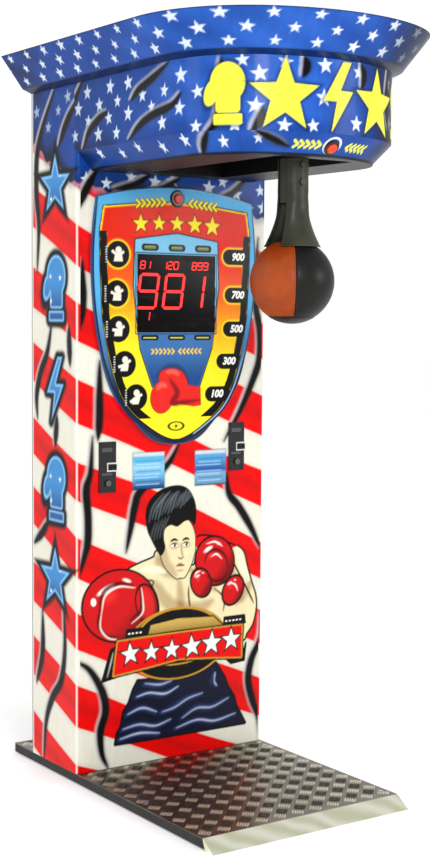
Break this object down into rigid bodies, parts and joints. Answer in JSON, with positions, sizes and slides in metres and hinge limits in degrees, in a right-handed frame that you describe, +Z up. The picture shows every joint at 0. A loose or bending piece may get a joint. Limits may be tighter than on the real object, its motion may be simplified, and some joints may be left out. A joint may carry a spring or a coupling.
{
  "type": "boxing punch machine",
  "caption": "Free-standing arcade punch machine with a leather ball on a swinging arm under a bow-fronted head, a scoreboard, coin entries and a tread-plate platform.",
  "frame": {"origin": "on the floor under the middle of the cabinet's front face", "axes": "+Z up, the player stands at -Y facing +Y, +X to the right seen from the front"},
  "size_m": [0.852, 1.2289, 2.085],
  "materials": {
    "black_ply": "black sealed plywood",
    "rubber": "black rubber",
    "tread_aluminium": "bright tread plate",
    "zinc_steel": "zinc plated",
    "frame_steel": "black painted steel tube",
    "printed_board": "gloss laminated artwork over board",
    "printed_metal": "gloss printed sheet",
    "black_board": "black laminated board",
    "edge_strip": "black edging",
    "lock_metal": "chromed",
    "black_metal": "satin black sheet",
    "lid_board": "dark sheet",
    "cuff_leather": "dark olive leather",
    "ball_leather": "tan and black leather",
    "foam": "foam",
    "score_backing": "painted board",
    "score_print": "printed face",
    "smoked_acrylic": "smoked acrylic",
    "display_plastic": "display modules",
    "circuit": "green circuit board",
    "black_plastic": "black moulded plastic",
    "red_plastic": "red cap",
    "orange_plastic": "orange red cap",
    "white_plastic": "white moulded plastic",
    "return_metal": "metal button",
    "galvanised": "galvanised sheet"
  },
  "bodies": {
    "cabinet": {"back_panels": "black_board", "ball_pocket": "black_metal", "base_board": "black_ply", "cash_box": "galvanised", "circuit_boards": "circuit", "coin_chute": "galvanised", "coin_mechs": "white_plastic", "coin_plate_left": "black_metal", "coin_plate_right": "black_metal", "crown_lid": "lid_board", "crown_shell": "printed_metal", "deck_screws": "zinc_steel", "digit_modules": "display_plastic", "display_window": "smoked_acrylic", "edge_trims": "edge_strip", "frame_posts": "frame_steel", "frame_rails": "frame_steel", "front_panel": "printed_board", "head_beams": "frame_steel", "head_shell": "printed_metal", "head_underside": "black_metal", "hinge_frame_leaves": "zinc_steel", "lock_solenoid": "black_metal", "pillow_blocks": "frame_steel", "power_inlet": "black_plastic", "power_supply": "galvanised", "rubber_pads": "rubber", "score_board": "score_backing", "score_face": "score_print", "select_button_bezel": "black_plastic", "sensor_fork": "black_plastic", "side_panel_left": "printed_board", "side_panel_right": "printed_board", "speaker": "black_metal", "start_button_bezel": "black_plastic", "stop_bars": "frame_steel", "stop_pads": "rubber", "swing_bearings": "zinc_steel", "tread_plate": "tread_aluminium"},
    "swing_arm": {"swing_axle": "zinc_steel", "swing_hub": "frame_steel", "arm_bar": "frame_steel", "ball_stem": "zinc_steel", "front_flap": "cuff_leather", "rear_flap": "cuff_leather", "arm_pad": "cuff_leather", "flap_bolts": "zinc_steel", "ball_cover": "ball_leather", "ball_core": "foam", "encoder_disc": "black_plastic"},
    "lock_bolt": {"lock_bolt": "zinc_steel"},
    "start_button": {"start_button_cap": "orange_plastic"},
    "select_button": {"select_button_cap": "red_plastic"},
    "return_button_left": {"coin_return_left": "return_metal"},
    "return_button_right": {"coin_return_right": "return_metal"},
    "rear_door": {"rear_door": "black_board", "hinge_door_leaves": "zinc_steel", "door_lock_body": "lock_metal"},
    "door_cam": {"door_lock_cam": "zinc_steel"},
    "rocker": {"power_rocker": "black_plastic"}
  },
  "joints": [
    {"name": "arm_swing", "type": "hinge", "parent": "cabinet", "child": "swing_arm", "pos_m": [0, -0.562, 1.8], "axis": [1, 0, 0], "range_deg": [-10, 85]},
    {"name": "lock_bolt_slide", "type": "slide", "parent": "cabinet", "child": "lock_bolt", "axis": [1, 0, 0], "range_m": [0, 0.014], "stiffness_N_per_m": 60},
    {"name": "start_button_press", "type": "slide", "parent": "cabinet", "child": "start_button", "axis": [0, 0.7214, 0.6925], "range_m": [0, 0.004], "stiffness_N_per_m": 400},
    {"name": "select_button_press", "type": "slide", "parent": "cabinet", "child": "select_button", "axis": [0, 1, 0], "range_m": [0, 0.004], "stiffness_N_per_m": 400},
    {"name": "coin_return_left_press", "type": "slide", "parent": "cabinet", "child": "return_button_left", "axis": [0, 1, 0], "range_m": [0, 0.005], "stiffness_N_per_m": 300},
    {"name": "coin_return_right_press", "type": "slide", "parent": "cabinet", "child": "return_button_right", "axis": [0, 1, 0], "range_m": [0, 0.005], "stiffness_N_per_m": 300},
    {"name": "rear_door_swing", "type": "hinge", "parent": "cabinet", "child": "rear_door", "pos_m": [0.312, 0.2725, 0.83], "axis": [0, 0, -1], "range_deg": [0, 110]},
    {"name": "rear_lock_turn", "type": "hinge", "parent": "rear_door", "child": "door_cam", "pos_m": [-0.268, 0.22, 0.8], "axis": [0, 1, 0], "range_deg": [0, 90]},
    {"name": "power_switch_rock", "type": "hinge", "parent": "cabinet", "child": "rocker", "pos_m": [-0.218, 0.265, 0.095], "axis": [1, 0, 0], "range_deg": [0, 20]}
  ]
}
